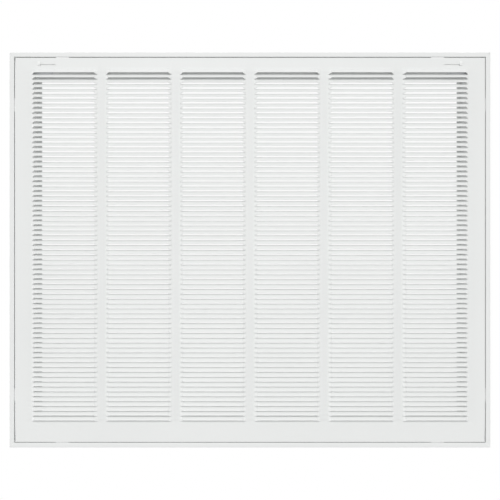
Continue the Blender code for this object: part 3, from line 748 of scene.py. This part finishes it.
# %% Turn the hinge pins
PIN_HEAD_LENGTH = 0.8 * MM
PIN_SHOULDER_RADIUS = 1.6 * MM
PIN_HEAD_RADII = (0, 0.4 * MM, 0.8 * MM, 1.2 * MM, 1.5 * MM, PIN_SHOULDER_RADIUS)
PIN_SHOULDER_LENGTH = 0.5 * MM
PIN_CHAMFER = 0.3 * MM
for side, name in ((-1, "left"), (1, "right")):
    inner = FACE_HALF_WIDTH - FACE_GAUGE - CLEARANCE
    shoulder = FACE_HALF_WIDTH + CLEARANCE
    tip = PIN_HIGH.x
    profile = []
    for radius in PIN_HEAD_RADII:
        rise = math.cos(math.asin(radius / PIN_SHOULDER_RADIUS))
        profile.append((radius, inner - PIN_HEAD_LENGTH * rise))
    profile += [(PIN_RADIUS, inner), (PIN_RADIUS, shoulder), (PIN_SHOULDER_RADIUS, shoulder),
                (PIN_SHOULDER_RADIUS, shoulder + PIN_SHOULDER_LENGTH),
                (PIN_RADIUS, shoulder + PIN_SHOULDER_LENGTH), (PIN_RADIUS, tip - PIN_CHAMFER),
                (PIN_RADIUS - PIN_CHAMFER, tip), (0, tip)]
    pin = bmesh.new()
    add_turned(pin, profile, (0, PIN_AXIS.y, PIN_AXIS.z), (side, 0, 0))
    make_piece("turned_hinge_pin_" + name, pin, ZINC, "face", "hinge_pin_" + name)
print("2 hinge pins of", round(PIN_RADIUS / MM, 1), "mm radius")

# %% [markdown]
# ## Corner plates
# An L of flat steel lies across each mitre on the flange, held by four rivets. Its
# outline is one six-sided face that is extruded by its thickness. The corners are then
# rounded, and the rivet holes are cut.

# %% Lay the corner plates
PLATE_GAUGE = 1.0 * MM
PLATE_INNER_INSET = 37.0 * MM
PLATE_ROUND = 3.0 * MM
PLATE_ROUND_STEPS = 8
NEARLY_THROUGH = 0.9


def round_through(shape, edges, radius, steps):
    """Round edges that run through a sheet, from its front to its back."""
    bmesh.ops.bevel(shape, geom=edges, offset=radius, affect="EDGES", segments=steps,
                    profile=0.5, material=-1)


def runs_through(edge):
    """Edges that go from a sheet's front to its back."""
    span = edge.verts[1].co - edge.verts[0].co
    return abs(span.y) > NEARLY_THROUGH * span.length


for corner, (side, up) in CORNERS.items():
    node = "corner_plate_" + corner
    low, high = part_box(node)
    outer = HALF_WIDTH - max(abs(low.x), abs(high.x))
    reach = HALF_WIDTH - min(abs(low.x), abs(high.x))
    inner = PLATE_INNER_INSET
    insets = [(outer, outer), (reach, outer), (reach, inner),
              (inner, inner), (inner, reach), (outer, reach)]
    plate = bmesh.new()
    ring = [plate.verts.new((side * (HALF_WIDTH - across), low.y, up * (HALF_HEIGHT - down)))
            for across, down in insets]
    face = plate.faces.new(ring)
    raised = bmesh.ops.extrude_face_region(plate, geom=[face])
    bmesh.ops.translate(plate, verts=joined_verts(raised), vec=(0, PLATE_GAUGE, 0))
    bmesh.ops.recalc_face_normals(plate, faces=plate.faces[:])
    through = [edge for edge in plate.edges if runs_through(edge)]
    round_through(plate, through, PLATE_ROUND, PLATE_ROUND_STEPS)
    holes = bmesh.new()
    for place in RIVETS[corner]:
        add_drill(holes, (place.x, low.y, place.z), (0, 1, 0),
                  RIVET_RADIUS + CLEARANCE, HALF_CUT)
    plate = boolean(plate, holes, "DIFFERENCE")
    make_piece("zinc_" + node, plate, ZINC, "frame", node)
print(len(CORNERS), "corner plates")

# %% [markdown]
# ## Keepers
# A keeper is a short strap bent like the brim and crown of a hat. Its feet are welded to
# the flange and the latch's tongue slides in under its crown.

# %% Bend the keepers
KEEPER_GAUGE = 0.8 * MM
KEEPER_FOOT = 4.5 * MM
KEEPER_INNER_RADIUS = 0.15 * MM
for name in ("left", "right"):
    low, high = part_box("latch_keeper_" + name)
    high_wall = high.z - KEEPER_FOOT + KEEPER_GAUGE / 2
    low_wall = low.z + KEEPER_FOOT - KEEPER_GAUGE / 2
    foot_y = high.y - KEEPER_GAUGE
    line = [(low.x, foot_y, high.z), (low.x, foot_y, high_wall), (low.x, low.y, high_wall),
            (low.x, low.y, low_wall), (low.x, foot_y, low_wall), (low.x, foot_y, low.z)]
    strap = fold_strip(line, (high.x - low.x, 0, 0), KEEPER_GAUGE, KEEPER_INNER_RADIUS)
    make_piece("bent_keeper_" + name, strap, ZINC,
               "frame", "latch_keeper_" + name)
print("2 keepers")

# %% [markdown]
# ## Latch slides
# A slide is a strip that hangs on the two studs by its guide slots. It steps back to a
# narrow tongue, and from its middle a thumb tab turns out through the face's finger slot
# and up in front of the face. In the picture the tab's flat end is the one bright spot
# beside each finger slot, and its foot leans forward and looks as grey as the face. The
# strip is folded first, cut next, and the tab is joined on last.

# %% Size the slides
SLIDE_GAUGE = 1.0 * MM
SLIDE_INNER_RADIUS = 0.2 * MM
TRAVEL = 14.0 * MM
GUIDE_RADIUS = STUD_RADIUS + CLEARANCE
JOGGLE = 55.0 * MM
JOGGLE_END = 59.0 * MM
TONGUE_DEPTH = 3.9 * MM
TONGUE_HEIGHT = 6.0 * MM
SLIDE_FROM_FACE = 0.8 * MM
SLIDE_DEPTH = FACE_GAUGE + SLIDE_FROM_FACE
TAB_WIDTH = 4.4 * MM
# Heights of the tab's folds from the slide's middle, and of the notch that it comes out of
TAB_ROOT = -4.0 * MM
NOTCH_FLOOR = -1.2 * MM
TAB_NECK = -1.0 * MM
TAB_BEND = 2.8 * MM
TAB_RISE = 6.3 * MM
# Depths of its folds behind the face's front, so a value below 0 lies before the face
TAB_OUT = -0.55 * MM
TAB_FRONT = -1.8 * MM
TAB_ROUND = 1.2 * MM
END_ROUND = 1.6 * MM
SLIDE_ROUND_STEPS = 6
OVERCUT = 1.0 * MM
AT_END = 0.01 * MM
print("the thumb tab stands", round(-TAB_FRONT / MM, 1), "mm in front of the face")


# %% Fold, cut and join a slide
def add_box(shape, low, high):
    """A box between two of its corners."""
    low, high = Vector(low), Vector(high)
    size = Matrix.Diagonal((*(high - low), 1.0))
    bmesh.ops.create_cube(shape, size=1.0, matrix=Matrix.Translation((low + high) / 2) @ size)


def slide(latch_x, latch_z, outer_end, tip, half_height, studs):
    """The right-hand slide. Reaches are measured outwards from the thumb tab."""
    joggle_angle = math.atan2(TONGUE_DEPTH - SLIDE_DEPTH, JOGGLE_END - JOGGLE)
    shift = SLIDE_GAUGE / 2 * math.tan(joggle_angle / 2)
    line = [(outer_end, SLIDE_DEPTH), (-JOGGLE - shift, SLIDE_DEPTH),
            (-JOGGLE_END - shift, TONGUE_DEPTH), (tip, TONGUE_DEPTH)]
    strip = fold_strip([(reach, depth, half_height) for reach, depth in line],
                       (0, 0, -2 * half_height), SLIDE_GAUGE, SLIDE_INNER_RADIUS)
    cuts = bmesh.new()
    for stud in studs:
        guide = (stud + TRAVEL / 2, SLIDE_DEPTH + SLIDE_GAUGE / 2, 0)
        add_obround(cuts, guide, GUIDE_RADIUS, TRAVEL, HALF_CUT)
    notch = TAB_WIDTH / 2 + CLEARANCE
    add_box(cuts, (-notch, -OVERCUT, NOTCH_FLOOR),
            (notch, SLIDE_DEPTH + HALF_CUT, half_height + OVERCUT))
    for up in (-1, 1):
        low_z, high_z = sorted((up * TONGUE_HEIGHT / 2, up * (half_height + OVERCUT)))
        add_box(cuts, (tip - OVERCUT, -OVERCUT, low_z),
                (-JOGGLE, TONGUE_DEPTH + HALF_CUT, high_z))
    strip = boolean(strip, cuts, "DIFFERENCE")
    tab_line = [(TAB_ROOT, SLIDE_DEPTH), (TAB_NECK, SLIDE_DEPTH), (TAB_NECK, TAB_OUT),
                (TAB_BEND, TAB_FRONT), (TAB_RISE, TAB_FRONT)]
    tab = fold_strip([(TAB_WIDTH / 2, depth, height) for height, depth in tab_line],
                     (-TAB_WIDTH, 0, 0), SLIDE_GAUGE, SLIDE_INNER_RADIUS)
    top = [edge for edge in tab.edges if runs_through(edge) and all(
        abs(vert.co.z - TAB_RISE) < AT_END for vert in edge.verts)]
    round_through(tab, top, TAB_ROUND, SLIDE_ROUND_STEPS)
    strip = boolean(strip, tab, "UNION")
    ends = [edge for edge in strip.edges if runs_through(edge) and all(
        min(abs(vert.co.x - outer_end), abs(vert.co.x - tip)) < AT_END for vert in edge.verts)]
    round_through(strip, ends, END_ROUND, SLIDE_ROUND_STEPS)
    bmesh.ops.translate(strip, verts=strip.verts[:], vec=(latch_x, FRONT_Y, latch_z))
    return strip


print("a slide travels", round(TRAVEL / MM, 1), "mm")

# %% Make the slides
for side, name in ((1, "right"), (-1, "left")):
    low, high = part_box("latch_slide_" + name)
    studs = [middle_of(f"latch_stud_{which}_{name}") for which in ("outer", "inner")]
    places = [side * stud.x for stud in studs]
    latch_z = studs[0].z
    outer_end = max(side * low.x, side * high.x)
    tip = min(side * low.x, side * high.x)
    latch_x = places[0] - OUTER_STUD_FROM_TAB
    strip = slide(latch_x, latch_z, outer_end - latch_x, tip - latch_x, latch_z - low.z,
                  [place - latch_x for place in places])
    if side < 0:
        bmesh.ops.scale(strip, vec=(-1, 1, 1), verts=strip.verts[:])
        bmesh.ops.reverse_faces(strip, faces=strip.faces[:])
    make_piece("painted_slide_" + name, strip, GLOSS_WHITE, name + "_latch",
               "latch_slide_" + name)
    print("slide", name, "reaches from", round(tip / MM, 1), "to", round(outer_end / MM, 1), "mm")

# %% [markdown]
# ## Floor and background
# The floor lies well below, because a wall grille has nothing to stand on. It takes the
# grille's shadow in its middle and fades to pure white towards its edge. Light Path's
# camera ray, with the glossy and transmission rays beside it, is what tells a ray that
# looks at the background from one that lights the grille. So the white behind the
# louvres costs no light on the object.

# %% Tell the rays that look at the background
def looking_ray(tree):
    """1 for a ray that looks at the background, straight, mirrored or through glass."""
    path_node = tree.nodes.new("ShaderNodeLightPath")
    total = None
    for name in ("Is Camera Ray", "Is Glossy Ray", "Is Transmission Ray"):
        if total is None:
            total = path_node.outputs[name]
            continue
        most = tree.nodes.new("ShaderNodeMath")
        most.operation = "MAXIMUM"
        tree.links.new(total, most.inputs[0])
        tree.links.new(path_node.outputs[name], most.inputs[1])
        total = most.outputs[0]
    return total


print("looking rays see a white background")

# %% Lay the floor
FLOOR_Z = -1.1
FLOOR_RADIUS = 1.3
FLOOR_SEGMENTS = 96
FLOOR_GREY = (0.80, 0.80, 0.80, 1.0)
FLOOR_ROUGHNESS = 0.9
FADE_FROM = 0.35 * FLOOR_RADIUS
FADE_TO = 0.95 * FLOOR_RADIUS


def floor_paint():
    """Matt grey for light and shadow, which fades to white towards the edge."""
    material = bpy.data.materials.new("pale_floor")
    material.use_nodes = True
    tree = material.node_tree
    shader = tree.nodes["Principled BSDF"]
    shader.inputs["Base Color"].default_value = FLOOR_GREY
    shader.inputs["Roughness"].default_value = FLOOR_ROUGHNESS
    shader.inputs["Specular IOR Level"].default_value = 0.0
    place = tree.nodes.new("ShaderNodeTexCoord").outputs["Object"]
    reach = tree.nodes.new("ShaderNodeVectorMath")
    reach.operation = "LENGTH"
    tree.links.new(place, reach.inputs[0])
    fade = add_node(tree, "ShaderNodeMapRange", From_Min=FADE_FROM, From_Max=FADE_TO)
    fade.interpolation_type = "SMOOTHSTEP"
    tree.links.new(reach.outputs["Value"], fade.inputs["Value"])
    white = tree.nodes.new("ShaderNodeEmission")
    factor = tree.nodes.new("ShaderNodeMath")
    factor.operation = "MULTIPLY"
    tree.links.new(looking_ray(tree), factor.inputs[0])
    tree.links.new(fade.outputs["Result"], factor.inputs[1])
    blend = tree.nodes.new("ShaderNodeMixShader")
    tree.links.new(factor.outputs[0], blend.inputs[0])
    tree.links.new(shader.outputs[0], blend.inputs[1])
    tree.links.new(white.outputs[0], blend.inputs[2])
    tree.links.new(blend.outputs[0], tree.nodes["Material Output"].inputs["Surface"])
    return material


disc = bmesh.new()
bmesh.ops.create_circle(disc, cap_ends=True, segments=FLOOR_SEGMENTS, radius=FLOOR_RADIUS)
floor_mesh = bpy.data.meshes.new("floor")
disc.to_mesh(floor_mesh)
disc.free()
floor_mesh.materials.append(floor_paint())
floor = bpy.data.objects.new("floor", floor_mesh)
floor.location = (0, 0, FLOOR_Z)
bpy.context.scene.collection.objects.link(floor)
floor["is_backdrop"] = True
print("floor", round(-FLOOR_Z, 2), "m below the middle")

# %% [markdown]
# ## Light
# A white object on white needs a plain level: the sky and the lamps together give a
# surface that faces the camera just its own colour. Nearly half of the light is the even
# sky. The main lamp stands 38 degrees up in front, far off, so that it lights the top and
# the foot of the grille nearly alike. It makes the blades a little lighter than the flat
# sheet, and each blade's lip lays a thin grey shadow on the blade below. A weaker lamp
# straight in front holds the flat sheet up to the blades, and two far out at the sides
# lift the sloping ends of the louvres. A faint one behind keeps the back from going dark.

# %% Light the sky
SKY = 0.445
WHITE = (1.0, 1.0, 1.0, 1.0)

world = bpy.data.worlds.new("white_studio")
world.use_nodes = True
bpy.context.scene.world = world
tree = world.node_tree
sky = tree.nodes["Background"]
sky.inputs["Color"].default_value = WHITE
strength = add_node(tree, "ShaderNodeMapRange", To_Min=SKY, To_Max=1.0)
tree.links.new(looking_ray(tree), strength.inputs["Value"])
tree.links.new(strength.outputs["Result"], sky.inputs["Strength"])
print("sky at", SKY, "for light and 1.0 for looking rays")

# %% Hang the lamps
# Each lamp's name, place in metres, width in metres and power in watts
LAMPS = (
    ("soft_top_lamp", (-1.26, -14.18, 11.08), 3.0, 1307.0),
    ("soft_front_lamp", (-0.3, -18.0, 0.94), 2.0, 435.0),
    ("soft_left_lamp", (-17.24, -4.94, 1.57), 4.0, 467.0),
    ("soft_right_lamp", (17.24, -4.94, 1.57), 4.0, 467.0),
    ("soft_back_lamp", (1.0, 18.0, 1.5), 6.0, 258.0),
)

for name, place, size, watts in LAMPS:
    lamp_data = bpy.data.lights.new(name, "AREA")
    lamp_data.shape = "DISK"
    lamp_data.size = size
    lamp_data.energy = watts
    lamp = bpy.data.objects.new(name, lamp_data)
    lamp.location = place
    lamp.rotation_euler = (-Vector(place)).to_track_quat("-Z", "Y").to_euler()
    bpy.context.scene.collection.objects.link(lamp)
    print(name, watts, "W")
bpy.context.scene.view_settings.view_transform = "Standard"

# %% [markdown]
# ## The box of the dressed grille
# The fine surfaces may not change the grille's size. So the box of the dressed grille is
# printed, to set beside the box that was measured at the start.

# %% Write down the sizes
low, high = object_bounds()
print("scene box", [round(span / MM, 1) for span in high - low], "mm")
